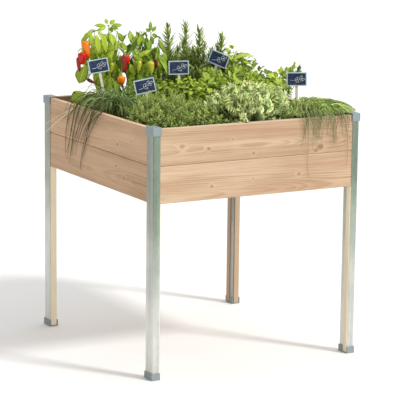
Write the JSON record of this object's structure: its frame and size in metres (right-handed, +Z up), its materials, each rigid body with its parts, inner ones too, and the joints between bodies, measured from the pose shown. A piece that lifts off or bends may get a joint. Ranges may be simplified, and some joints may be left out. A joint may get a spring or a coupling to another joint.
{
  "type": "raised planter on legs",
  "caption": "Square wooden planter box at table height on galvanised channel legs, filled with soil, herbs and pull-out name tags.",
  "frame": {"origin": "on the floor, in the middle between the four feet", "axes": "+Z up, +X to the right along the front boards, +Y to the back along the side boards"},
  "size_m": [0.756, 0.806, 1.055],
  "materials": {
    "galvanised_steel": "hot-dip galvanised sheet with a soft spangle",
    "grey_cap": "satin blue-grey moulding",
    "douglas_board": "planed Douglas fir with knots, untreated",
    "infill_wood": "planed softwood",
    "floor_wood": "sawn softwood",
    "zinc_screw": "yellow zinc plated",
    "felt_liner": "black needle-felt",
    "staple_wire": "zinc plated wire",
    "potting_soil": "moist dark potting soil",
    "pepper_foliage": "living leaves, stems and ripening fruit",
    "rosemary_foliage": "stiff grey-green needles",
    "mint_foliage": "toothed green leaves",
    "parsley_foliage": "divided green leaves",
    "basil_foliage": "domed bright green leaves",
    "oregano_foliage": "small oval yellow-green leaves",
    "chive_blades": "thin round blades",
    "thyme_foliage": "very small grey-green leaves",
    "pale_foliage": "crinkled pale green leaves with cream tips",
    "tag_slate": "dark chalkboard face with a pale border",
    "tag_lath": "pale planed lath"
  },
  "bodies": {
    "planter": {"post_front_left": "galvanised_steel", "post_front_right": "galvanised_steel", "post_back_left": "galvanised_steel", "post_back_right": "galvanised_steel", "top_cap_front_left": "grey_cap", "top_cap_front_right": "grey_cap", "top_cap_back_left": "grey_cap", "top_cap_back_right": "grey_cap", "foot_shoe_front_left": "grey_cap", "foot_shoe_front_right": "grey_cap", "foot_shoe_back_left": "grey_cap", "foot_shoe_back_right": "grey_cap", "front_infill_front_left": "infill_wood", "front_infill_front_right": "infill_wood", "front_infill_back_left": "infill_wood", "front_infill_back_right": "infill_wood", "side_infill_front_left": "infill_wood", "side_infill_front_right": "infill_wood", "side_infill_back_left": "infill_wood", "side_infill_back_right": "infill_wood", "upper_board_front": "douglas_board", "upper_board_back": "douglas_board", "upper_board_left": "douglas_board", "upper_board_right": "douglas_board", "lower_board_front": "douglas_board", "lower_board_back": "douglas_board", "lower_board_left": "douglas_board", "lower_board_right": "douglas_board", "ledger_front": "floor_wood", "ledger_back": "floor_wood", "floor_slat_1": "floor_wood", "floor_slat_2": "floor_wood", "floor_slat_3": "floor_wood", "floor_slat_4": "floor_wood", "floor_slat_5": "floor_wood", "floor_slat_6": "floor_wood", "floor_screws": "zinc_screw", "liner": "felt_liner", "liner_staples": "staple_wire", "soil": "potting_soil", "pepper_plant": "pepper_foliage", "rosemary": "rosemary_foliage", "mint": "mint_foliage", "flat_parsley": "parsley_foliage", "basil": "basil_foliage", "oregano": "oregano_foliage", "chives_left": "chive_blades", "thyme": "thyme_foliage", "curly_parsley": "pale_foliage", "chives_right": "chive_blades"},
    "tag_1": {"tag_plate_1": "tag_slate", "tag_stick_1": "tag_lath"},
    "tag_2": {"tag_plate_2": "tag_slate", "tag_stick_2": "tag_lath"},
    "tag_3": {"tag_plate_3": "tag_slate", "tag_stick_3": "tag_lath"},
    "tag_4": {"tag_plate_4": "tag_slate", "tag_stick_4": "tag_lath"},
    "tag_5": {"tag_plate_5": "tag_slate", "tag_stick_5": "tag_lath"}
  },
  "joints": [
    {"name": "tag_1_pull", "type": "slide", "parent": "planter", "child": "tag_1", "axis": [-0.1669, 0.0925, 0.9816], "range_m": [0, 0.07]},
    {"name": "tag_2_pull", "type": "slide", "parent": "planter", "child": "tag_2", "axis": [-0.1967, 0.1091, 0.9744], "range_m": [0, 0.07]},
    {"name": "tag_3_pull", "type": "slide", "parent": "planter", "child": "tag_3", "axis": [-0.0305, 0.0169, 0.9994], "range_m": [0, 0.07]},
    {"name": "tag_4_pull", "type": "slide", "parent": "planter", "child": "tag_4", "axis": [0.2418, -0.2418, 0.9397], "range_m": [0, 0.07]},
    {"name": "tag_5_pull", "type": "slide", "parent": "planter", "child": "tag_5", "axis": [-0.0153, 0.0085, 0.9998], "range_m": [0, 0.07]}
  ]
}
